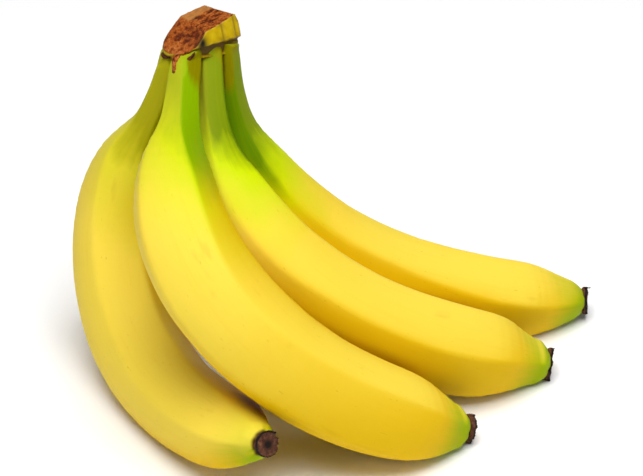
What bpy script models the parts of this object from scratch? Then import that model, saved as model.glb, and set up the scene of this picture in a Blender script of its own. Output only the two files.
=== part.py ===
"""A bunch of four bananas joined at the crown, resting on the curved backs of its fruits.

Sizes are in millimetres and angles in degrees until a mesh is made, in metres, with +Z up.
The origin is on the floor, under the middle of the bunch.
"""
import math

import bmesh
import bpy
import numpy as np
from mathutils import Vector

MM = 0.001

# --- Driving dimensions ---------------------------------------------------------------------

CLEARANCE = 0.3          # air between two pieces that touch
REST_FLAT = 0.6          # how far the peel gives way where a fruit rests on the floor

# Each fruit bends in a plane of its own. heading is where that plane points, anticlockwise
# from +X, and lean tips it over sideways. fall is the fruit's angle from straight down at the
# BEND_STATIONS, which are shares of its length. root is where the neck leaves the crown.
# ridge and twist place the five soft ridges, from the inner side of the bend.
BEND_STATIONS = (0.0, 0.16, 0.40, 0.70, 1.0)      # crown, neck, shoulder, belly, tip
FRUITS = {
    "left": dict(root=(-9.8, 0.3, -3.9), length=217, radius=17.4, heading=-58, lean=15,
                 fall=(-3, -21, 27, 89, 113), ridge=55, twist=20),
    "front": dict(root=(-4.0, -5.9, 2.9), length=217, radius=19.0, heading=50, lean=42,
                  fall=(-40, -47, 0, 36, 59), ridge=97, twist=-8),
    "middle": dict(root=(4.0, -1.3, -3.4), length=206, radius=18.6, heading=41, lean=39,
                   fall=(-29, -14, 24, 54, 60), ridge=125, twist=-26),
    "right": dict(root=(9.6, 6.9, -0.3), length=209, radius=17.2, heading=26, lean=22,
                  fall=(-14, 10, 41, 66, 75), ridge=82, twist=0),
}
RIDGES = 5
RIDGE_HEIGHT = 0.045     # of the radius, up on a ridge and down between two

NECK_RADIUS = 5.5
TIP_RADIUS = 5.3
# How full a fruit is, from 0 at its neck or tip to 1 in the body: (distance from the end, share).
SHOULDER = ((0, 0.0), (17, 0.03), (30, 0.14), (46, 0.60), (62, 0.83), (84, 0.96), (110, 1.0))
NOSE = ((0, 0.0), (3, 0.10), (10, 0.40), (22, 0.75), (39, 0.89), (64, 0.96), (97, 1.0))

# The crown is a rounded block whose up axis leans back, against the way the necks hang. The
# knife left two flat faces on it: a level top and a slanting end. Its sizes are from the
# middle of the four roots: along (towards CROWN_HEADING), across (to the back) and up its axis.
CROWN_TILT = 35.0                  # of its up axis, from upright
CROWN_TILT_HEADING = 111.0         # where that axis leans to
CROWN_HEADING = 50.0
CROWN_LENGTH = 31.5
CROWN_AHEAD = 3.7                  # of the block's middle, along its length
CROWN_FRONT = -8.5                 # the front of the rim, across
CROWN_BACK = 11.0                  # the back of the rim, across
CROWN_BOTTOM = -1.0
CROWN_RIM_BOTTOM = 3.0
CROWN_HEIGHT = 20.0                # of the block, before the level cut
CROWN_UNDERCUTS = (2.1, 1.4, 1.0)   # how far the underside is drawn in, from its bottom up
CROWN_WIDEST = 7.7                 # up to here the back hardly leans
CROWN_BACK_DRAW = 2.4              # how far in the back is there
CROWN_BACK_LEAN = 7.5              # how far the back leans in between the rim and the top
CROWN_ROUNDNESS = 3.5              # power of its rounded-rectangle outline
LEVEL_CUT = 11.2                   # height of the level face, straight up
SLANT_CUT_POINT = (-1.2, -7.9, 8.3)        # along, across, up: the corner of the two faces
SLANT_CUT_NORMAL = (-0.66, -0.38, 0.64)
END_SLOPE_POINT = (16.0, -8.8, 12.3)       # the block's far end slopes in above this point
END_SLOPE_NORMAL = (0.885, 0.089, 0.457)

# Each neck goes up into a socket under the crown. The knife that cut the slant cut it too.
SOCKET_TOP = 3.5                   # how high it reaches, up the crown's axis
SOCKET_LEAST = 1.0                 # how far a neck goes on past its root at least
NECK_COVER = 1.0                   # what is left of the crown between the slant and a neck

BLOSSOM_LENGTH = 2.6
BLOSSOM_ROOT_RADIUS = 5.0
BLOSSOM_END_RADIUS = 4.5
BLOSSOM_RIM = 1.3                  # width of the rim round the dimple in its outer face
BLOSSOM_DIMPLE = 0.7

# --- Fineness of the meshes -----------------------------------------------------------------

FRUIT_RINGS = 44
FRUIT_SIDES = 20
ROOT_RINGS = 3                     # above the root, inside the crown
SOCKET_RINGS = 9                   # of a neck, from its top, that shape its socket
CROWN_SIDES = 32
BLOSSOM_SIDES = 20
PRESS_STEPS = 24                   # halvings of the search for a pressed skin


# --- Scene and materials --------------------------------------------------------------------

def clear_scene():
    for obj in list(bpy.data.objects):
        bpy.data.objects.remove(obj, do_unlink=True)


def new_collection(name):
    collection = bpy.data.collections.new(name)
    bpy.context.scene.collection.children.link(collection)
    return collection


def new_material(name, colour, roughness):
    material = bpy.data.materials.new(name)
    material.use_nodes = True
    shader = material.node_tree.nodes["Principled BSDF"]
    shader.inputs["Base Color"].default_value = (*colour, 1.0)
    shader.inputs["Roughness"].default_value = roughness
    shader.inputs["Metallic"].default_value = 0.0
    return material


def new_object(name, mesh, collection, material=None):
    obj = bpy.data.objects.new(name, mesh)
    collection.objects.link(obj)
    if material:
        mesh.materials.append(material)
        mesh.shade_smooth()
    return obj


# --- Centrelines and skins ------------------------------------------------------------------

def smooth_curve(points, x):
    """Read a smooth curve through (x, y) points; outside them it stays level."""
    xs, ys = (np.array(column, dtype=float) for column in zip(*points))
    x = np.clip(x, xs[0], xs[-1])
    width = np.diff(xs)
    slope = np.diff(ys) / width
    inner = (slope[:-1] * width[1:] + slope[1:] * width[:-1]) / (width[1:] + width[:-1])
    tangent = np.concatenate([slope[:1], inner, slope[-1:]])
    i = np.clip(np.searchsorted(xs, x) - 1, 0, len(width) - 1)
    h = width[i]
    u = (x - xs[i]) / h
    return (ys[i] * (1 + 2 * u) * (1 - u) ** 2 + tangent[i] * h * u * (1 - u) ** 2
            + ys[i + 1] * u * u * (3 - 2 * u) - tangent[i + 1] * h * u * u * (1 - u))


def unit(vector):
    vector = np.array(vector, dtype=float)
    return vector / np.linalg.norm(vector)


def crown_axes():
    """The crown's own axes: along, across (to the back) and up."""
    tilt, turn = math.radians(CROWN_TILT), math.radians(CROWN_TILT_HEADING)
    up = np.array([math.sin(tilt) * math.cos(turn), math.sin(tilt) * math.sin(turn), math.cos(tilt)])
    turn = math.radians(CROWN_HEADING)
    level = np.array([math.cos(turn), math.sin(turn), 0])
    along = unit(level - up * level.dot(up))
    return np.array([along, np.cross(up, along), up])


class Fruit:
    """One banana's centreline and girth, ring by ring from inside the crown to the tip."""

    def __init__(self, root, length, radius, heading, lean, fall, ridge, twist):
        root = np.array(root)
        share = np.linspace(0, 1, FRUIT_RINGS)
        along = share * length
        angle = np.radians(smooth_curve(tuple(zip(BEND_STATIONS, fall)), share))[:, None]
        turn, tilt = math.radians(heading), math.radians(lean)
        forward = np.array([math.cos(turn), math.sin(turn), 0])
        sideways = np.array([-math.sin(turn), math.cos(turn), 0])
        down = np.array([0, 0, -1]) * math.cos(tilt) - sideways * math.sin(tilt)
        direction = np.cos(angle) * down + np.sin(angle) * forward
        steps = (direction[1:] + direction[:-1]) / 2 * length / (FRUIT_RINGS - 1)
        centre = np.vstack([np.zeros(3), np.cumsum(steps, axis=0)]) + root
        body = NECK_RADIUS + (radius - NECK_RADIUS) * smooth_curve(SHOULDER, along)
        girth = TIP_RADIUS + (body - TIP_RADIUS) * smooth_curve(NOSE, length - along)

        up = crown_axes()[2]
        rise = max(SOCKET_LEAST, (SOCKET_TOP - root.dot(up)) / -direction[0].dot(up))
        above = np.linspace(rise, 0, ROOT_RINGS, endpoint=False)[:, None]
        self.centre = np.vstack([root - direction[0] * above, centre])
        self.direction = np.vstack([np.repeat(direction[:1], ROOT_RINGS, axis=0), direction])
        self.radius = np.concatenate([np.repeat(girth[:1], ROOT_RINGS), girth])
        self.across = np.cross(down, forward)
        self.inner = np.cross(self.across, self.direction)
        share = np.concatenate([np.zeros(ROOT_RINGS), share])
        self.ridge = np.radians(ridge + twist * share)

    def outward(self, theta):
        return np.cos(theta) * self.inner + np.sin(theta) * self.across

    def skin(self, theta):
        """Distance from the centreline to the skin at angle theta, on every ring."""
        return self.radius * (1 + RIDGE_HEIGHT * np.cos(RIDGES * (theta - self.ridge)))

    def height_over(self, points):
        """How far each point is outside this fruit, taken as round; negative inside."""
        start, run = self.centre[:-1], np.diff(self.centre, axis=0)
        offset = points[:, None] - start[None]
        share = np.clip((offset * run).sum(2) / (run * run).sum(1), 0, 1)
        reach = np.linalg.norm(offset - run * share[..., None], axis=2)
        skin = self.radius[:-1] * (1 - share) + self.radius[1:] * share
        return (reach - skin).min(axis=1)


def pressed(fruit, others, theta):
    """The skin's distance at theta, drawn in where it would pass the halfway surface to a
    neighbour, so that two fruits pressed together are flat there and never overlap."""
    outward = fruit.outward(theta)
    full = fruit.skin(theta)

    def is_clear(reach):
        points = fruit.centre + outward * reach[:, None]
        nearest = np.min([other.height_over(points) for other in others], axis=0)
        return nearest >= reach - fruit.radius + CLEARANCE

    low, high = np.zeros(len(full)), full.copy()
    for _ in range(PRESS_STEPS):
        middle = (low + high) / 2
        clear = is_clear(middle)
        low = np.where(clear, middle, low)
        high = np.where(clear, high, middle)
    return np.where(is_clear(full), full, low)


def fruit_rings(fruit, others):
    """All skin points, as rings of FRUIT_SIDES."""
    angles = np.linspace(0, 2 * math.pi, FRUIT_SIDES, endpoint=False)
    columns = [fruit.centre + fruit.outward(a) * pressed(fruit, others, a)[:, None] for a in angles]
    return np.stack(columns, axis=1)


def socket_rings(fruit):
    """The top of the neck, a clearance larger all round and past its end, to cut its socket."""
    angles = np.linspace(0, 2 * math.pi, FRUIT_SIDES, endpoint=False)[:, None, None]
    rows = slice(0, SOCKET_RINGS)
    outward = np.cos(angles) * fruit.inner[rows] + np.sin(angles) * fruit.across
    reach = fruit.radius[rows] * (1 + RIDGE_HEIGHT) + CLEARANCE
    rings = (fruit.centre[rows] + outward * reach[:, None]).transpose(1, 0, 2)
    above = rings[:1] - fruit.direction[0] * CLEARANCE
    return np.concatenate([above, rings])


def blossom_edges(fruit):
    """Points round both ends of the stub on a fruit's tip."""
    angles = np.linspace(0, 2 * math.pi, BLOSSOM_SIDES, endpoint=False)[:, None]
    outward = np.cos(angles) * fruit.inner[-1] + np.sin(angles) * fruit.across
    root = fruit.centre[-1] + fruit.direction[-1] * CLEARANCE
    end = root + fruit.direction[-1] * BLOSSOM_LENGTH
    return np.concatenate([root + outward * BLOSSOM_ROOT_RADIUS, end + outward * BLOSSOM_END_RADIUS])


def place_on_floor(fruits, skins):
    """The move that centres the bunch over the origin and presses it REST_FLAT into the floor."""
    points = [skin.reshape(-1, 3) for skin in skins.values()]
    points = np.concatenate(points + [blossom_edges(fruit) for fruit in fruits.values()])
    low, high = points.min(axis=0), points.max(axis=0)
    return np.array([-(low[0] + high[0]) / 2, -(low[1] + high[1]) / 2, -low[2] - REST_FLAT])


# --- Meshes ---------------------------------------------------------------------------------

def loft(rings, shift):
    """A closed solid through rings of points, with a flat cap at each end."""
    bm = bmesh.new()
    rows = [[bm.verts.new(Vector(point + shift) * MM) for point in ring] for ring in rings]
    for lower, upper in zip(rows, rows[1:]):
        for i, vert in enumerate(lower):
            j = (i + 1) % len(lower)
            bm.faces.new((vert, lower[j], upper[j], upper[i]))
    bm.faces.new(reversed(rows[0]))
    bm.faces.new(rows[-1])
    bmesh.ops.recalc_face_normals(bm, faces=bm.faces)
    return bm


def cut_off(bm, point, normal, verts=None):
    """Cut away what lies on the normal's side of a plane, and close the cut."""
    verts = set(verts or bm.verts)
    edges = [edge for edge in bm.edges if verts.issuperset(edge.verts)]
    faces = [face for face in bm.faces if verts.issuperset(face.verts)]
    bmesh.ops.bisect_plane(bm, geom=list(verts) + edges + faces, plane_co=point, plane_no=normal,
                           clear_outer=True)
    open_edges = [edge for edge in bm.edges if edge.is_boundary]
    if open_edges:
        bmesh.ops.holes_fill(bm, edges=open_edges)


def cut_crown_plane(bm, shift, point, normal, depth=0.0, verts=None):
    """Cut with a plane given in the crown's own axes, moved depth into the crown."""
    axes = crown_axes()
    normal = unit(normal) @ axes
    point = shift + np.array(point) @ axes - normal * depth
    cut_off(bm, Vector(point) * MM, Vector(normal), verts)


def as_mesh(bm, name):
    mesh = bpy.data.meshes.new(name)
    bm.to_mesh(mesh)
    bm.free()
    return mesh


def crown_ring(up, inset, back_inset):
    """The block's rounded-rectangle outline at a height, drawn in all round and at the back."""
    along, across, _ = axes = crown_axes()
    front, back = CROWN_FRONT + inset, CROWN_BACK - inset - back_inset
    half_length, half_width = CROWN_LENGTH / 2 - inset, (back - front) / 2
    middle = np.array([CROWN_AHEAD, (front + back) / 2, up]) @ axes
    ring = []
    for angle in np.linspace(0, 2 * math.pi, CROWN_SIDES, endpoint=False):
        x, y = math.cos(angle), math.sin(angle)
        power = CROWN_ROUNDNESS
        reach = (abs(x) ** power + abs(y) ** power) ** (-1 / power)
        ring.append(middle + along * x * reach * half_length + across * y * reach * half_width)
    return np.array(ring)


def crown_rings():
    """The block from its underside to above the level cut."""
    heights = np.linspace(CROWN_BOTTOM, CROWN_RIM_BOTTOM, len(CROWN_UNDERCUTS) + 1)
    underside = [crown_ring(up, inset, 0) for up, inset in zip(heights, CROWN_UNDERCUTS)]
    return underside + [
        crown_ring(CROWN_RIM_BOTTOM, 0, 0),
        crown_ring(CROWN_WIDEST, 0, CROWN_BACK_DRAW),
        crown_ring(CROWN_HEIGHT, 0, CROWN_BACK_LEAN),
    ]


def subtract(obj, cutters):
    """Cut the cutters out of an object with Boolean modifiers."""
    for cutter in cutters:
        modifier = obj.modifiers.new(cutter.name, "BOOLEAN")
        modifier.operation = "DIFFERENCE"
        modifier.solver = "EXACT"
        modifier.object = cutter


# --- Sub-parts ------------------------------------------------------------------------------

def make_fruit(name, rings, shift, collection, material):
    bm = loft(rings, shift)
    neck = bm.verts[:SOCKET_RINGS * FRUIT_SIDES]
    cut_crown_plane(bm, shift, SLANT_CUT_POINT, SLANT_CUT_NORMAL, NECK_COVER, neck)
    cut_off(bm, Vector(), Vector((0, 0, -1)))
    return new_object(name, as_mesh(bm, name), collection, material)


def make_socket_cutter(name, fruit, shift, collection):
    bm = loft(socket_rings(fruit), shift)
    cut_crown_plane(bm, shift, SLANT_CUT_POINT, SLANT_CUT_NORMAL, NECK_COVER - CLEARANCE)
    cutter = new_object(name, as_mesh(bm, name), collection)
    cutter.hide_render = True
    cutter.display_type = "WIRE"
    return cutter


def make_crown(shift, cutters, collection, material):
    bm = loft(crown_rings(), shift)
    cut_off(bm, Vector(shift + (0, 0, LEVEL_CUT)) * MM, Vector((0, 0, 1)))
    cut_crown_plane(bm, shift, SLANT_CUT_POINT, SLANT_CUT_NORMAL)
    cut_crown_plane(bm, shift, END_SLOPE_POINT, END_SLOPE_NORMAL)
    obj = new_object("crown", as_mesh(bm, "crown"), collection, material)
    subtract(obj, cutters)
    return obj


def make_blossom_end(name, fruit, shift, collection, material):
    """The dried flower's stub: a short dark drum with a dimple, on the fruit's tip."""
    bm = bmesh.new()
    bmesh.ops.create_cone(bm, cap_ends=True, segments=BLOSSOM_SIDES, radius1=BLOSSOM_ROOT_RADIUS,
                          radius2=BLOSSOM_END_RADIUS, depth=BLOSSOM_LENGTH)
    outer = max(bm.faces, key=lambda face: face.calc_center_median().z)
    bmesh.ops.inset_region(bm, faces=[outer], thickness=BLOSSOM_RIM)
    for vert in outer.verts:
        vert.co.z -= BLOSSOM_DIMPLE
    axis = Vector(fruit.direction[-1])
    seat = Vector(fruit.centre[-1] + shift) + axis * (CLEARANCE + BLOSSOM_LENGTH / 2)
    mesh = as_mesh(bm, name)
    obj = new_object(name, mesh, collection, material)
    obj.scale = (MM, MM, MM)
    obj.rotation_mode = "QUATERNION"
    obj.rotation_quaternion = axis.to_track_quat("Z", "Y")
    obj.location = seat * MM
    return obj


def build():
    clear_scene()
    bunch = new_collection("banana_bunch")
    cutters = new_collection("cutters")
    peel = new_material("peel", (0.83, 0.62, 0.03), 0.42)
    cut_crown = new_material("dried_crown", (0.36, 0.15, 0.04), 0.75)
    blossom = new_material("dried_blossom", (0.05, 0.025, 0.015), 0.8)

    fruits = {name: Fruit(**sizes) for name, sizes in FRUITS.items()}
    skins = {}
    for name, fruit in fruits.items():
        others = [other for key, other in fruits.items() if key != name]
        skins[name] = fruit_rings(fruit, others)

    shift = place_on_floor(fruits, skins)

    sockets = []
    for name, fruit in fruits.items():
        make_fruit(f"banana_{name}", skins[name], shift, bunch, peel)
        make_blossom_end(f"blossom_end_{name}", fruit, shift, bunch, blossom)
        sockets.append(make_socket_cutter(f"socket_{name}", fruit, shift, cutters))
    make_crown(shift, sockets, bunch, cut_crown)


build()
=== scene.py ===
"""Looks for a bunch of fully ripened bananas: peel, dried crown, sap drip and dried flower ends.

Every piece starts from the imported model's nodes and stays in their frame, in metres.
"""
import math

import bpy
import numpy as np
from mathutils import Matrix, Vector, noise
from mathutils.kdtree import KDTree


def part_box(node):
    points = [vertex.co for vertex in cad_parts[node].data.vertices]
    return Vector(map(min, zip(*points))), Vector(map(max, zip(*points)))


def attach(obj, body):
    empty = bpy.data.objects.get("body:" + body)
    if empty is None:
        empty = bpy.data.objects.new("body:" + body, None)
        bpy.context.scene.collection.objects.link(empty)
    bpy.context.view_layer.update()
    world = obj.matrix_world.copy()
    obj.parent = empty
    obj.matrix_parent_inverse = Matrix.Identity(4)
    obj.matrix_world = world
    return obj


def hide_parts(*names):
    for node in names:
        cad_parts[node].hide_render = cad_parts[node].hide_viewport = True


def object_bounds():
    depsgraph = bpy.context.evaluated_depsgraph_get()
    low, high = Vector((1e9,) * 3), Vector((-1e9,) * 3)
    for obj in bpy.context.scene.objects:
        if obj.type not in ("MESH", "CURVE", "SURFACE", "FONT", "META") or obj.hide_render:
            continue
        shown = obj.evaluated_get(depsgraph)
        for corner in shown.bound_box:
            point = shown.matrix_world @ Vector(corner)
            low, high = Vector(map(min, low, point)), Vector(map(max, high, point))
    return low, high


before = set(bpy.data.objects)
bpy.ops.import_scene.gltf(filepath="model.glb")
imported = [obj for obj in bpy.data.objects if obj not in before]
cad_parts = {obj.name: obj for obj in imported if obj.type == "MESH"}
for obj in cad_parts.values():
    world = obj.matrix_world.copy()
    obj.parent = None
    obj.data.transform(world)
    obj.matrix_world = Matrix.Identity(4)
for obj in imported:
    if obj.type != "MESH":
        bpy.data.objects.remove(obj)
cad_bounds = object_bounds()

MM = 0.001
FRUITS = ("left", "front", "middle", "right")

# A bare length is in millimetres, and times MM it is in metres. Only the floor's size and the
# lights' places and sizes are written in metres.
RIDGE_COUNT = 5
RIDGE_ROUNDING = 0.03           # radians round the fruit
FLAT_SIDE_MEAN = 0.865          # about the mean reach of a flat-sided section, its ridges at 1
FACETING, NECK_FACETING = 0.55, 0.3     # how flat the sides are, and how much more at the neck
NECK_CREASE_SHADE, BODY_CREASE_SHADE = 1.2, 5.7         # the gap between two fruits that painted shade in their crease still fills
CROWN_VOXEL = 0.36              # the size of the crown's finest detail
COLLAR_DEPTH = 1.4              # how far the crown's underside steps in
GROOVES = (7.2, 14.0)           # places along the crown
FLOWER_DEPTH = 3.2              # of a flower end's drum, before its face is shaped


# --- Shader recipes -------------------------------------------------------------------------

class Value:
    """A shader socket that takes part in ordinary arithmetic."""

    def __init__(self, recipe, socket):
        self.recipe, self.socket = recipe, socket

    def math(self, operation, *others):
        sockets = {i: other for i, other in enumerate((self, *others))}
        return self.recipe.node("ShaderNodeMath", {"operation": operation}, sockets)

    def __add__(self, other): return self.math("ADD", other)
    def __mul__(self, other): return self.math("MULTIPLY", other)
    def __sub__(self, other): return self.math("SUBTRACT", other)
    def __truediv__(self, other): return self.math("DIVIDE", other)
    def __rsub__(self, other): return (self * -1.0) + other
    __radd__, __rmul__ = __add__, __mul__

    def between(self, low, high):
        """0 at low, 1 at high, with soft ends."""
        return self.recipe.node("ShaderNodeMapRange", {"interpolation_type": "SMOOTHSTEP"},
                                {"Value": self, "From Min": low, "From Max": high})


class Recipe:
    """A material and the nodes that feed its shader."""

    def __init__(self, name, **constants):
        self.material = bpy.data.materials.new(name)
        self.material.use_nodes = True
        self.tree = self.material.node_tree
        self.shader = self.tree.nodes["Principled BSDF"]
        for socket, value in constants.items():
            self.shader.inputs[socket.replace("_", " ")].default_value = value

    @classmethod
    def of_tree(cls, tree):
        """A recipe that only adds nodes to a tree."""
        recipe = cls.__new__(cls)
        recipe.tree = tree
        return recipe

    def node(self, kind, settings=None, sockets=None, output=0):
        node = self.tree.nodes.new(kind)
        for name, value in (settings or {}).items():
            if name == "stops":
                ramp = node.color_ramp
                while len(ramp.elements) < len(value):
                    ramp.elements.new(1.0)
                for element, (place, colour) in zip(ramp.elements, value):
                    element.position, element.color = place, (*colour, 1.0)
            else:
                setattr(node, name, value)
        for name, value in (sockets or {}).items():
            self.feed(node.inputs[name], value)
        return Value(self, node.outputs[output])

    def feed(self, socket, value):
        if isinstance(value, Value):
            self.tree.links.new(value.socket, socket)
        elif socket.type == "RGBA":
            socket.default_value = (*value, 1.0)
        else:
            socket.default_value = value

    def attribute(self, name, output="Fac"):
        return self.node("ShaderNodeAttribute", {"attribute_name": name}, output=output)

    def noise(self, vector, scale, detail=2.0, roughness=0.5):
        return self.node("ShaderNodeTexNoise", {}, {"Vector": vector, "Scale": scale,
                                                    "Detail": detail, "Roughness": roughness})

    def stretched(self, vector, scale):
        return self.node("ShaderNodeVectorMath", {"operation": "MULTIPLY"},
                         {0: vector, 1: scale})

    def ramp(self, value, *stops):
        return self.node("ShaderNodeValToRGB", {"stops": stops}, {"Fac": value})

    def mix(self, share, first, second, blend="MIX"):
        return self.node("ShaderNodeMix", {"data_type": "RGBA", "blend_type": blend},
                         {0: share, 6: first, 7: second}, output=2)

    def finish(self, colour, roughness, height, depth):
        """Feed the shader its colour and roughness, and height as bumps depth metres deep."""
        self.feed(self.shader.inputs["Base Color"], colour)
        self.feed(self.shader.inputs["Roughness"], roughness)
        bump = self.node("ShaderNodeBump", {}, {"Height": height, "Strength": 1.0,
                                                "Distance": depth})
        self.feed(self.shader.inputs["Normal"], bump)
        return self.material


def srgb(code):
    """A linear colour from a web colour code."""
    parts = [int(code[i:i + 2], 16) / 255 for i in (0, 2, 4)]
    return tuple(c / 12.92 if c <= 0.04045 else ((c + 0.055) / 1.055) ** 2.4 for c in parts)


def peel_recipe(name, neck, shoulder):
    """Yellow peel that greens towards the neck and the tip."""
    body = srgb("F2D54A")
    peel = Recipe(name, IOR=1.3, Specular_IOR_Level=0.06)
    grain = peel.attribute("grain", "Vector")
    along, to_tip = peel.attribute("along"), peel.attribute("to_tip")
    crease, nearby = peel.attribute("crease"), peel.attribute("nearby")
    green, under = peel.attribute("green"), peel.attribute("underside")

    cloud = peel.noise(grain, 1.1, 3.0)
    streaks = peel.noise(peel.stretched(grain, (9.0, 9.0, 0.35)), 1.0, 4.0, 0.6)
    drift = along + (cloud - 0.5) * 22.0 + (streaks - 0.5) * 5.0 - green * 26.0
    colour = peel.ramp(drift / 100.0, (0.0, srgb("7C7600")), (0.08, neck), (0.36, neck),
                       (0.52, shoulder), (0.86, body), (1.0, body))

    # Painted shade in gold, on the side turned down and away from the light and between the
    # fruits.
    painted_shade_gold = (under * 0.9 + nearby * 0.5) * along.between(30.0, 90.0)
    colour = peel.mix(painted_shade_gold.between(0.0, 1.1) * 0.95, colour, srgb("E4B800"))
    # A duller neck away from its green side.
    pale_neck = (1.0 - along.between(20.0, 80.0)) * (1.0 - green.between(-0.7, 0.5))
    colour = peel.mix(pale_neck * 0.6, colour, srgb("BDB62A"))
    # A green tip, partly the peel's own green and partly painted shade, as it grows on the shaded
    # side.
    tip_green = 1.0 - (to_tip + (streaks - 0.5) * 5.0 + (cloud - 0.5) * 10.0).between(2.0, 21.0)
    colour = peel.mix(tip_green * (under * 0.6 + 0.3), colour, srgb("90B000"))

    # Streaks, specks and bruises, painted shade in the crease between two fruits, and the scar at
    # the tip.
    colour = peel.mix(streaks.between(0.5, 0.8) * 0.12, colour, srgb("DDB200"))
    speck = peel.noise(peel.stretched(grain, (7.0, 7.0, 1.4)), 5.5, 1.0)
    colour = peel.mix(speck.between(0.74, 0.80) * 0.30, colour, srgb("8A5A12"))
    bruise = peel.noise(peel.stretched(grain, (1.0, 1.0, 0.35)), 3.1, 2.0)
    colour = peel.mix(bruise.between(0.66, 0.80) * 0.16, colour, srgb("B07A10"))
    crease_shade_colour = peel.mix(along.between(45.0, 90.0), srgb("4E4600"), srgb("8A4200"))
    colour = peel.mix(crease * 0.85, colour, crease_shade_colour)
    colour = peel.mix(1.0 - to_tip.between(-0.6, 0.6), colour, srgb("4A2A10"))

    roughness = 0.46 + (cloud - 0.5) * 0.14 + (1.0 - along.between(10.0, 60.0)) * 0.06
    pores = peel.noise(peel.stretched(grain, (26.0, 26.0, 7.0)), 1.0, 3.0)
    height = streaks * 0.6 + pores * 0.4
    return peel.finish(colour, roughness, height, 0.10 * MM)


def crown_recipe():
    """Rusty fibres on the knife's cuts, and old olive peel on the flanks."""
    crown = Recipe("dried_crown", IOR=1.4, Specular_IOR_Level=0.25)
    place = crown.node("ShaderNodeTexCoord", output="Object")
    cut, dark, collar = crown.attribute("cut"), crown.attribute("dark"), crown.attribute("collar")
    cords, swirl, tan = crown.attribute("cords"), crown.attribute("swirl"), crown.attribute("tan")
    speckle = crown.noise(place, 1500.0, 4.0, 0.65)
    blotch = crown.noise(place, 260.0, 3.0)
    rust = crown.ramp(cords * 0.6 + speckle * 0.4, (0.28, srgb("2E1004")), (0.40, srgb("6A2A06")),
                      (0.50, srgb("96480F")), (0.62, srgb("B0642A")), (0.78, srgb("CC8E4C")))
    rust = crown.mix(tan * 0.55, rust, srgb("BE8644"))
    rust = crown.mix(swirl * blotch.between(0.35, 0.55), rust, srgb("46180A"))
    olive = crown.ramp(crown.noise(place, 160.0, 3.0),
                       (0.3, srgb("8E7600")), (0.5, srgb("B89800")), (0.7, srgb("C8AE10")))
    # Painted shade: darker olive in the grooves of the flank.
    olive = crown.mix(crown.attribute("groove") * 0.7, olive, srgb("7E6400"))
    colour = crown.mix(cut.between(0.35, 0.65), olive, rust)
    colour = crown.mix(crown.attribute("pale") * 0.55, colour, srgb("DCCB7A"))
    # Painted shade: dark olive on the stepped-in underside above the necks.
    colour = crown.mix(collar, colour, srgb("5C4400"))
    # Dark spots and torn lips of its own, and painted shade along the cuts' edges on the far side.
    colour = crown.mix(dark, colour, srgb("1C120A"))
    height = speckle * (cut * 0.95 + 0.05)
    return crown.finish(colour, 0.5 + cut * 0.35, height, 0.5 * MM)


def flower_recipe():
    """The dead flower: a red-brown scar with a charred edge and stub."""
    flower = Recipe("dried_flower", IOR=1.4, Specular_IOR_Level=0.3)
    place = flower.node("ShaderNodeTexCoord", output="Object")
    crumbs = flower.noise(place, 700.0, 5.0, 0.6)
    colour = flower.ramp(crumbs, (0.3, srgb("34190F")), (0.5, srgb("54301F")),
                         (0.72, srgb("7C5238")))
    charred = flower.attribute("charred") + (crumbs - 0.5) * 0.7
    colour = flower.mix(charred.between(0.25, 0.65), colour, srgb("120A06"))
    return flower.finish(colour, 0.6 + crumbs * 0.3, crumbs, 0.5 * MM)


# --- Mesh helpers ---------------------------------------------------------------------------

def only(obj):
    """Make obj the one selected, active object."""
    bpy.ops.object.select_all(action="DESELECT")
    obj.select_set(True)
    bpy.context.view_layer.objects.active = obj


def merged_copy(node, name):
    """A copy of a CAD node's mesh as a new piece, its loose triangles merged into quads."""
    obj = bpy.data.objects.new(name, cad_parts[node].data.copy())
    bpy.context.scene.collection.objects.link(obj)
    obj.data.materials.clear()
    only(obj)
    if obj.data.has_custom_normals:
        bpy.ops.mesh.customdata_custom_splitnormals_clear()
    bpy.ops.object.mode_set(mode="EDIT")
    bpy.ops.mesh.select_all(action="SELECT")
    bpy.ops.mesh.remove_doubles(threshold=0.01 * MM)
    bpy.ops.mesh.tris_convert_to_quads(face_threshold=math.radians(50),
                                       shape_threshold=math.radians(60))
    bpy.ops.object.mode_set(mode="OBJECT")
    return obj


def modify(obj, kind, **settings):
    """Add a modifier and apply it."""
    only(obj)
    modifier = obj.modifiers.new(kind.lower(), kind)
    for name, value in settings.items():
        setattr(modifier, name, value)
    bpy.ops.object.modifier_apply(modifier=modifier.name)


def points_of(obj):
    points = np.empty(len(obj.data.vertices) * 3, dtype=np.float32)
    obj.data.vertices.foreach_get("co", points)
    return points.reshape(-1, 3).astype(float)


def normals_of(obj):
    normals = np.empty(len(obj.data.vertices) * 3, dtype=np.float32)
    obj.data.vertices.foreach_get("normal", normals)
    return normals.reshape(-1, 3).astype(float)


def move_points(obj, points):
    obj.data.vertices.foreach_set("co", points.astype(np.float32).ravel())
    obj.data.update()


def note(obj, name, values):
    """Store a number or a vector for each point, for the material to read."""
    values = np.asarray(values, dtype=np.float32)
    kind = "FLOAT" if values.ndim == 1 else "FLOAT_VECTOR"
    attribute = obj.data.attributes.new(name, kind, "POINT")
    attribute.data.foreach_set("value" if values.ndim == 1 else "vector", values.ravel())


def soft_step(x, low, high):
    share = np.clip((x - low) / (high - low), 0, 1)
    return share * share * (3 - 2 * share)


def smooth(values, passes):
    """Even out a row of numbers or points, with both ends kept."""
    for _ in range(passes):
        values[1:-1] = (values[:-2] + 2 * values[1:-1] + values[2:]) / 4


def rough_noise(points, scale):
    return np.array([noise.fractal(Vector(p) * scale, 1.0, 2.0, 4) for p in points])


def middle_of(node):
    low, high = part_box(node)
    return (low + high) / 2


def settle(obj, body_slot, material, *nodes):
    """Give a finished piece its material and its place in the part."""
    obj.data.materials.append(material)
    only(obj)
    bpy.ops.object.shade_smooth()
    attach(obj, "root")
    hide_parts(*nodes)


# --- The crown's axes -----------------------------------------------------------------------

def unit(*numbers):
    return np.array(numbers) / np.linalg.norm(numbers)


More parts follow.
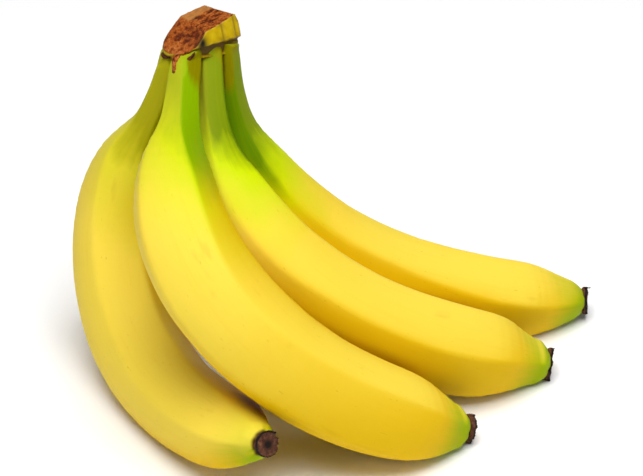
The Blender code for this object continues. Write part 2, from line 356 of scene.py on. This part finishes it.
# The crown's own axes, in the part's frame: up leans back from upright, and along runs from
# the slanting cut to the far end. On it, points are (along, back, up), in millimetres from
# the middle of the four necks.
CROWN_UP = unit(-0.2056, 0.5355, 0.8192)
CROWN_ALONG = unit(0.734, 0.637, -0.236)
CROWN_BACK = np.cross(CROWN_UP, CROWN_ALONG)
CROWN_AXES = np.array([CROWN_ALONG, CROWN_BACK, CROWN_UP])
CROWN_ROOT = np.array(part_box("crown")[0]) + np.array((13.4, 8.2, 8.3)) * MM
SLANT = unit(-0.66, -0.38, 0.64)         # the slanting cut faces this way, on the crown's axes
LEVEL = CROWN_AXES @ (0, 0, 1)


def on_crown(points):
    return (points - CROWN_ROOT) @ CROWN_AXES.T / MM


def from_crown(places):
    return CROWN_ROOT + np.array(places) @ CROWN_AXES * MM


# --- Fruits ---------------------------------------------------------------------------------

class Centreline:
    """The line through the middle of a fruit, walked from its tip up to its neck."""

    STEP = 4 * MM
    WIDEST = 27 * MM        # no skin is further than this from the line
    FEWEST = 12             # points in a ring; with fewer, the neck's end is reached

    def __init__(self, points, tip, inward):
        centre, way, line = tip, inward, [tip]
        while True:
            ahead = centre + way * self.STEP
            offset = points - ahead
            near = (abs(offset @ way) < self.STEP) & (np.linalg.norm(offset, axis=1) < self.WIDEST)
            if near.sum() < self.FEWEST:
                break
            ring = points[near].mean(axis=0)
            ring += way * ((ahead - ring) @ way)
            new_way = ring - centre
            way = way * 0.5 + new_way / np.linalg.norm(new_way) * 0.5
            way /= np.linalg.norm(way)
            centre = ring
            line.append(ring)
        self.line = np.array(line[::-1])
        smooth(self.line, 4)
        run = np.diff(self.line, axis=0)
        self.length = np.concatenate([[0], np.cumsum(np.linalg.norm(run, axis=1))])
        self.way = np.gradient(self.line, axis=0)
        self.way /= np.linalg.norm(self.way, axis=1)[:, None]
        # across stands square to the plane the fruit bends in, and inner points into the bend.
        _, _, axes = np.linalg.svd(self.line - self.line.mean(axis=0))
        bend = self.way[-1] - self.way[0]
        flipped = np.cross(axes[2], self.way.mean(axis=0)) @ bend < 0
        self.across = -axes[2] if flipped else axes[2]
        self.inner = np.cross(self.across, self.way)

    def way_at(self, along):
        return self.way[np.searchsorted(self.length / MM, along).clip(0, len(self.way) - 1)]

    def place(self, points):
        """Each point's distance along the line, its offset from it, and its angle round it."""
        start, run = self.line[:-1], np.diff(self.line, axis=0)
        offset = points[:, None] - start[None]
        share = np.clip((offset * run).sum(2) / (run * run).sum(1), 0, 1)
        reach = np.linalg.norm(offset - run * share[..., None], axis=2)
        i = reach.argmin(axis=1)
        rows = np.arange(len(points))
        s = share[rows, i]
        along = self.length[i] * (1 - s) + self.length[i + 1] * s
        out = (offset - run * share[..., None])[rows, i]
        inner = self.inner[i] * (1 - s)[:, None] + self.inner[i + 1] * s[:, None]
        angle = np.arctan2(out @ self.across, (out * inner).sum(1))
        return along / MM, out / MM, angle


class Fruit:
    """How one fruit's ridges run, how its tip is shaped and how its peel is coloured."""

    def __init__(self, ridge, tip, face, green_side, neck, shoulder):
        # Where one ridge runs, as degrees round the fruit at each distance from its neck's end.
        far = np.arange(0, 240, 4.0)
        turn = np.interp(far, *zip(*ridge))
        smooth(turn, 6)
        self.ridge = far, np.radians(turn)
        self.tip_radius, self.tip_slope = tip       # of the cone that ends the fruit
        self.face = np.array(face)                  # leans the flower end off the fruit's line
        self.green_side = np.array(green_side)      # the way its greener side faces
        self.colours = srgb(neck), srgb(shoulder)


# Each fruit's ridge, the radius and slope of its tip, how its flower end leans, its green side,
# and the colours of its neck and shoulder.
LOOKS = {
    "left": Fruit([(45, 100), (60, 80), (100, 69), (137, 71), (170, 82), (215, 97)],
                  (5.2, 0.66), (0, -0.1, 0.1), (0.6, -0.2, 0.3), "A09C00", "DCD030"),
    "front": Fruit([(22, 130), (50, 99), (94, 110), (115, 109), (144, 99), (177, 94), (203, 99)],
                   (5.9, 0.68), (0, -0.16, 0.10), (1.0, 0.1, 0.0), "7EA200", "C8D210"),
    # The middle and right necks are given a darker green as painted shade.
    "middle": Fruit([(25, 139), (40, 133), (65, 133), (97, 120), (112, 112), (178, 115),
                     (201, 106)],
                    (6.8, 0.44), (0, -0.36, 0.26), (0.5, 0.2, 0.0), "627F00", "C4D804"),
    "right": Fruit([(27, 84), (70, 84), (120, 75), (168, 93), (205, 92)],
                   (5.8, 0.60), (0, -0.36, 0.26), (-0.2, -0.6, 0.0), "5C7E00", "BCD404"),
}


def waves(angle):
    return np.stack([np.ones(len(angle)), np.cos(angle), np.sin(angle),
                     np.cos(2 * angle), np.sin(2 * angle)], axis=1)


def plain_section(along, angle, reach, used):
    """How far out each point would be on a fruit that is oval all along, with no ridges."""
    middles = np.arange(4, along.max() - 2, 5.0)
    fits = []
    for middle in middles:
        ring = used & (abs(along - middle) < 5)
        fits.append(np.linalg.lstsq(waves(angle[ring]), reach[ring], rcond=None)[0])
    blend = np.stack([np.interp(along, middles, share) for share in np.transpose(fits)], axis=1)
    return (waves(angle) * blend).sum(axis=1)


def make_fruit(name):
    """The peel, its centreline, and each point's distance along that, to the tip, and angle."""
    look = LOOKS[name]
    obj = merged_copy(f"banana_{name}", f"peel_{name}")
    modify(obj, "SUBSURF", levels=2, render_levels=2)
    tip = np.array(middle_of(f"blossom_end_{name}"))
    points = points_of(obj)
    # The skin nearest the tip shows which way the fruit leads from there.
    nearest = np.argsort(np.linalg.norm(points - tip, axis=1))[:600]
    close = points[nearest].mean(axis=0)
    line = Centreline(points, tip, (close - tip) / np.linalg.norm(close - tip))
    along, out, angle = line.place(points)
    reach = np.linalg.norm(out, axis=1)
    to_tip = line.length[-1] / MM - along - 2
    from_first = angle - np.interp(along, *look.ridge)
    off_ridge = np.arccos(np.cos(RIDGE_COUNT * from_first)) / RIDGE_COUNT
    off_ridge = np.hypot(off_ridge, RIDGE_ROUNDING) - RIDGE_ROUNDING
    half_side = math.pi / RIDGE_COUNT
    flat_sided = math.cos(half_side) / np.cos(half_side - off_ridge) - FLAT_SIDE_MEAN

    # Each fruit runs out to its flower end as a straight cone.
    capped = abs((normals_of(obj) * line.way_at(along)).sum(axis=1)) > 0.75
    far = np.arange(1, along.max(), 2.0)
    width = np.array([np.percentile(reach[abs(along - at) < 2], 70) for at in far])
    smooth(width, 6)
    width = np.interp(along, far, width)
    cone = look.tip_radius + look.tip_slope * to_tip
    slimmer = (width + cone - np.hypot(width - cone, 2.0)) / 2
    cone += (slimmer - cone) * soft_step(to_tip, 4, 12)
    shaped = reach * (1 + (cone / width - 1) * (1 - soft_step(to_tip, 24, 36)))

    # The skin is cut anew to five flat sides; the neck is round before that, the body oval.
    oval = plain_section(along, angle, shaped, ~capped)
    neck = 1 - soft_step(along, 22, 50)
    faceting = FACETING + NECK_FACETING * neck
    section = (width * neck + oval * (1 - neck)) * (1 + faceting * flat_sided)
    skin = (~capped) * soft_step(along, 2.0, 6.0)
    skin = skin * soft_step(-on_crown(points)[:, 2], -1.0, 0.3) * soft_step(to_tip, 0, 6)
    lift = shaped - reach + (section - shaped) * skin
    points += out / np.maximum(reach, 0.1)[:, None] * lift[:, None] * MM
    points[:, 2] = np.maximum(points[:, 2], 0)      # the flats that rest on the floor stay flat
    move_points(obj, points)
    return obj, line, along, to_tip, angle


def tree_of(obj):
    """A quick way to find how near a place is to a piece."""
    points = points_of(obj)
    tree = KDTree(len(points))
    for i, point in enumerate(points):
        tree.insert(point, i)
    tree.balance()
    return tree


fruits = {name: make_fruit(name) for name in FRUITS}
trees = {name: tree_of(obj) for name, (obj, *_) in fruits.items()}

for name, (obj, line, along, to_tip, angle) in fruits.items():
    points, normals = points_of(obj), normals_of(obj)
    others = [tree for key, tree in trees.items() if key != name]
    gap = np.array([min(tree.find(p)[2] for tree in others) for p in points]) / MM
    note(obj, "along", along)
    note(obj, "to_tip", to_tip)
    # Painted shade, dark, in the crease where two fruits meet.
    crease_shade_reach = NECK_CREASE_SHADE + (BODY_CREASE_SHADE - NECK_CREASE_SHADE) * soft_step(along, 45, 85)
    note(obj, "crease", 1 - soft_step(gap, 0.3, crease_shade_reach))
    # Painted shade near the other fruits, golden like light bounced between them.
    note(obj, "nearby", 1 - soft_step(gap, 1.0, 16.0))
    note(obj, "green", normals @ LOOKS[name].green_side)
    # Painted shade on the side that faces down and away from the light.
    note(obj, "underside", soft_step(normals @ unit(0.6, 0, -0.8), -0.5, 0.2))
    shift = FRUITS.index(name) * 7.3        # so that no two peels have the same grain
    note(obj, "grain", np.stack([np.cos(angle) + shift, np.sin(angle), along / 20], axis=1))
    settle(obj, "peel", peel_recipe(f"peel_{name}", *LOOKS[name].colours), f"banana_{name}")


# --- Crown ----------------------------------------------------------------------------------

def near(places, spot, size):
    """1 at a spot on the crown, falling to 0 over a distance of about size."""
    offset = (places - np.array(spot)) / np.array(size)
    return np.exp(-(offset * offset).sum(axis=1))


def displace(obj, amount):
    """Push each point along its normal by its own number of millimetres."""
    move_points(obj, points_of(obj) + normals_of(obj) * amount[:, None] * MM)


def fibres(places, stretch, seed):
    """Ragged cords of noise from -1 to 1, long along the axis whose stretch is small."""
    places = places * np.array(stretch) + seed
    cords = np.array([-abs(noise.fractal(Vector(p), 0.9, 2.0, 5)) for p in places])
    return np.clip((cords - np.median(cords)) / (2 * cords.std()), -1, 1)


def make_crown():
    """A filled block with two knife cuts, fibres on the cuts and a collar above the necks."""
    obj = merged_copy("crown", "cut_crown")
    bpy.ops.object.mode_set(mode="EDIT")
    bpy.ops.mesh.select_all(action="SELECT")
    bpy.ops.mesh.convex_hull()
    bpy.ops.object.mode_set(mode="OBJECT")
    modify(obj, "REMESH", mode="VOXEL", voxel_size=CROWN_VOXEL * MM)

    place, normal = on_crown(points_of(obj)), normals_of(obj) @ CROWN_AXES.T
    level = soft_step(normal @ LEVEL, 0.92, 0.985)
    slant = soft_step(normal @ SLANT, 0.90, 0.985)
    cut = np.maximum(level, slant)
    rim = 2.8 + 0.10 * (place[:, 0] + 1.9) + 0.12 * np.sin(place[:, 0] * 1.3)
    side = (1 - soft_step(abs(normal[:, 2]), 0.5, 0.9)) * (1 - slant)
    under = (1 - soft_step(place[:, 2], rim - 0.5, rim + 0.3)) * side
    front = soft_step(-place[:, 1], 5.0, 7.0) * side
    grooves = sum(np.exp(-((place[:, 0] - at) / 0.7) ** 2) for at in GROOVES)
    bulge = front * (1 - under) * (0.25 - 0.5 * grooves)
    displace(obj, -COLLAR_DEPTH * under + bulge)

    place = on_crown(points_of(obj))
    cords = fibres(place, (0.13, 0.75, 0.45), 3.0)
    lumps = fibres(place, (0.28, 0.30, 0.30), 11.0)
    grain = fibres(place, (0.5, 2.2, 1.6), 7.0)
    strip = level * soft_step(place[:, 1] + 0.35 * lumps, 0.1, 0.7)
    hollow = slant * near(place, (-4.0, -3.5, 8.0), (4.0, 3.5, 3.0))
    lift = level * (0.20 * cords + 0.08 * grain) + slant * (0.22 * lumps + 0.10 * grain)
    lift += 0.30 * strip - 0.8 * hollow
    displace(obj, lift)

    spot = near(place, (-3.4, -8.3, 4.3), (2.1, 1.6, 3.0))
    spot += near(place, (-5.2, -7.2, 3.0), (1.6, 1.5, 1.6)) * 0.6
    lip = near(place, (-11.6, 6.0, 1.6), (1.6, 1.6, 2.2))
    lip += near(place, (-9.9, -6.0, -0.9), (1.8, 1.4, 1.3))
    swirl = slant * np.clip(hollow * 0.9 + soft_step(-lumps, 0.3, 0.9) * 0.5, 0, 1)
    # Painted shade along the edges of the cuts on the far side.
    edge = cut * (1 - cut) * 4 * soft_step(place[:, 1], -3, 2)
    edge += cut * soft_step(place[:, 1] + 0.4 * lumps, 5.4, 7.0) * 0.7
    note(obj, "cut", cut)
    note(obj, "tan", strip)
    note(obj, "swirl", swirl)
    clear = near(place, (-9.5, 1.5, 1.5), (4.5, 5.0, 5.0))
    strands = level * (cords * 0.55 + grain * 0.45)
    strands += slant * (lumps * 0.35 + grain * 0.25 + clear * 0.4)
    note(obj, "cords", np.clip(strands, -1, 1) * 0.5 + 0.5)
    note(obj, "pale", cut * (1 - cut) * 4 * front)
    note(obj, "dark", np.clip(spot + lip * 0.9 + edge * 0.8, 0, 1))
    # Painted shade under the crown's rim.
    note(obj, "collar", under * soft_step(place[:, 0], -7, -4))
    # Painted shade in the flank's grooves.
    note(obj, "groove", front * grooves)
    return obj


crown = make_crown()
settle(crown, "dried_crown", crown_recipe(), "crown")


def make_strand(name, path, seed, dark):
    """A strand of dried sap or torn skin, along points on the crown with a radius at each."""
    mesh = bpy.data.meshes.new(name)
    links = [(i, i + 1) for i in range(len(path) - 1)]
    mesh.from_pydata([from_crown(p) for p, _ in path], links, [])
    obj = bpy.data.objects.new(name, mesh)
    bpy.context.scene.collection.objects.link(obj)
    only(obj)
    skin = obj.modifiers.new("skin", "SKIN")
    for vertex, (_, radius) in zip(mesh.skin_vertices[0].data, path):
        vertex.radius = (radius * MM, radius * MM)
    mesh.skin_vertices[0].data[0].use_root = True
    bpy.ops.object.modifier_apply(modifier=skin.name)
    modify(obj, "SUBSURF", levels=3, render_levels=3)
    place = on_crown(points_of(obj))
    displace(obj, 0.14 * fibres(place, (0.6, 0.6, 0.6), seed))
    note(obj, "cut", np.ones(len(place)))
    note(obj, "cords", fibres(place, (0.8, 1.2, 0.4), seed + 2) * 0.4 + 0.55)
    # The crown's material reads these as well, and a strand has none of them.
    for absent in ("tan", "collar", "groove", "pale"):
        note(obj, absent, np.zeros(len(place)))
    note(obj, "dark", np.full(len(place), dark))
    note(obj, "swirl", soft_step(-place[:, 2], 1.0, 6.0) * 0.6)
    obj.data.materials.append(crown.data.materials[0])
    only(obj)
    bpy.ops.object.shade_smooth()
    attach(obj, "root")


# Each strand's path and radii, the seed of its lumps, and how dark it is.
STRANDS = {
    "sap_drip": ([((-9.4, -0.1, 1.6), 1.8), ((-11.2, -0.9, 0.3), 2.1), ((-12.5, -1.5, -1.2), 1.6),
                  ((-13.8, -2.2, -2.9), 1.25), ((-15.0, -3.1, -4.6), 1.35),
                  ((-15.7, -3.6, -5.6), 0.8)], 5.0, 0.0),
    "torn_lip_right": ([((-11.5, -2.6, -0.6), 0.5), ((-11.2, -4.3, -1.2), 0.9),
                        ((-10.5, -5.8, -1.1), 0.9), ((-9.3, -6.9, -0.3), 0.7),
                        ((-7.6, -7.7, 1.2), 0.5)], 8.0, 0.75),
    "torn_lip_left": ([((-11.6, 2.2, 1.7), 0.4), ((-12.0, 4.2, 2.0), 0.6),
                       ((-11.9, 5.8, 2.7), 0.7), ((-11.0, 6.9, 4.2), 0.5)], 11.0, 0.8),
}

for name, (path, seed, dark) in STRANDS.items():
    make_strand(name, path, seed, dark)


# --- Dried flower ends ----------------------------------------------------------------------

def select_outer_face(obj):
    bpy.ops.object.mode_set(mode="OBJECT")
    outer = max(obj.data.polygons, key=lambda face: face.center.z * face.normal.z)
    for face in obj.data.polygons:
        face.select = face == outer
    bpy.ops.object.mode_set(mode="EDIT")


# How far each ring of the drum's face is in from the last, and how far above it.
FACE_RINGS = ((0.4, 0.0), (0.7, -0.6), (1.2, -0.3), (0.7, 0.3), (0.5, 0.9), (0.6, 0.2))


def make_flower_end(name, radius, seed):
    """A thin drum with a ragged rim, a wrinkled face and the stub of the dead flower in it."""
    bpy.ops.mesh.primitive_cylinder_add(vertices=40, radius=radius * MM, depth=FLOWER_DEPTH * MM)
    obj = bpy.context.object
    obj.name = obj.data.name = f"dried_flower_{name}"
    bpy.ops.object.mode_set(mode="EDIT")
    bpy.ops.mesh.select_mode(type="FACE")
    for inset, rise in FACE_RINGS:
        select_outer_face(obj)
        bpy.ops.mesh.inset(thickness=inset * MM)
        bpy.ops.transform.translate(value=(0, 0, rise * MM))
    bpy.ops.object.mode_set(mode="OBJECT")
    modify(obj, "SUBSURF", levels=2, render_levels=2)
    points = points_of(obj) / MM
    reach = np.hypot(points[:, 0], points[:, 1])
    angle = np.arctan2(points[:, 1], points[:, 0])
    rim = soft_step(reach, radius - 0.9, radius - 0.2)
    stub = 1 - soft_step(reach, 1.0, 2.2)
    ring = np.stack([np.cos(angle) * 1.8, np.sin(angle) * 1.8,
                     np.full(len(angle), seed)], axis=1)
    tear = np.array([noise.fractal(Vector(p), 0.9, 2.2, 4) for p in ring])
    outer = rim * soft_step(points[:, 2], 0.0, 1.4)
    points[:, 2] += outer * 1.3 * tear + stub * 0.5 * np.cos(4 * angle + seed)
    points[:, 2] += (1 - rim) * 0.25 * tear * soft_step(points[:, 2], -0.6, 0.0)
    points[:, :2] *= (1 + 0.09 * rim * tear)[:, None]
    crumple = rough_noise(points + seed * 10, 0.7)
    points += (points / np.maximum(reach, 1)[:, None]) * crumple[:, None] * 0.22
    move_points(obj, points * MM)
    core = 1 - soft_step(reach, 1.8, 3.0)
    note(obj, "charred", np.clip(outer * 0.9 + core * 0.8, 0, 1))
    return obj


for seed, name in enumerate(FRUITS):
    obj = make_flower_end(name, LOOKS[name].tip_radius - 0.2, seed + 1)
    way = Vector(fruits[name][1].way[-1] + LOOKS[name].face).normalized()
    turn = way.to_track_quat("Z", "Y").to_matrix().to_4x4()
    place = middle_of(f"blossom_end_{name}") + way * 0.2 * MM
    obj.data.transform(Matrix.Translation(place) @ turn)
    points = points_of(obj)
    points[:, 2] = np.maximum(points[:, 2], 0)      # nothing goes below the floor
    move_points(obj, points)
    settle(obj, "dried_blossom", flower_recipe(), f"blossom_end_{name}")


# --- Camera, floor and light ----------------------------------------------------------------

middle = (Vector(cad_bounds[0]) + Vector(cad_bounds[1])) / 2

# The camera stands 1.26 m from the middle of the bunch and looks down on it with a long lens.
camera = bpy.data.objects.new("camera", bpy.data.cameras.new("camera"))
bpy.context.scene.collection.objects.link(camera)
camera.location = middle + Vector((-5.5, -1042.4, 699.35)) * MM
camera.rotation_euler = (math.radians(56.4), 0, 0)
camera.data.lens = 188.1
camera.data.sensor_width = 36
bpy.context.scene.camera = camera

bpy.ops.mesh.primitive_plane_add(size=6.0, location=(0, 0, 0))
floor = bpy.context.object
floor.name = "floor"
paper = Recipe("floor_paper", Roughness=0.9, Specular_IOR_Level=0.1)
paper.shader.inputs["Base Color"].default_value = (0.97, 0.97, 0.97, 1)
floor.data.materials.append(paper.material)

world = bpy.data.worlds.new("studio")
bpy.context.scene.world = world
world.use_nodes = True
sky = Recipe.of_tree(world.node_tree)
direction = sky.node("ShaderNodeTexCoord", output="Generated")
height = sky.node("ShaderNodeSeparateXYZ", {}, {0: direction}, output=2)
strength = height.between(-0.1, 0.9) * 0.7 + 0.4        # brighter overhead than at the horizon
sky.feed(world.node_tree.nodes["Background"].inputs["Strength"], strength)


def add_light(name, place, size, power):
    """A square soft light aimed at the middle of the bunch."""
    light = bpy.data.objects.new(name, bpy.data.lights.new(name, "AREA"))
    bpy.context.scene.collection.objects.link(light)
    light.data.size = size
    light.data.energy = power
    light.location = Vector(place)
    light.rotation_euler = (middle - light.location).to_track_quat("-Z", "Y").to_euler()


add_light("key_light", (0.0, -0.35, 1.55), 1.2, 33)
add_light("left_fill", (-1.3, -0.8, 0.8), 1.0, 2.5)
add_light("right_fill", (1.2, -1.0, 1.0), 1.0, 3.5)
bpy.context.scene.view_settings.view_transform = "Standard"
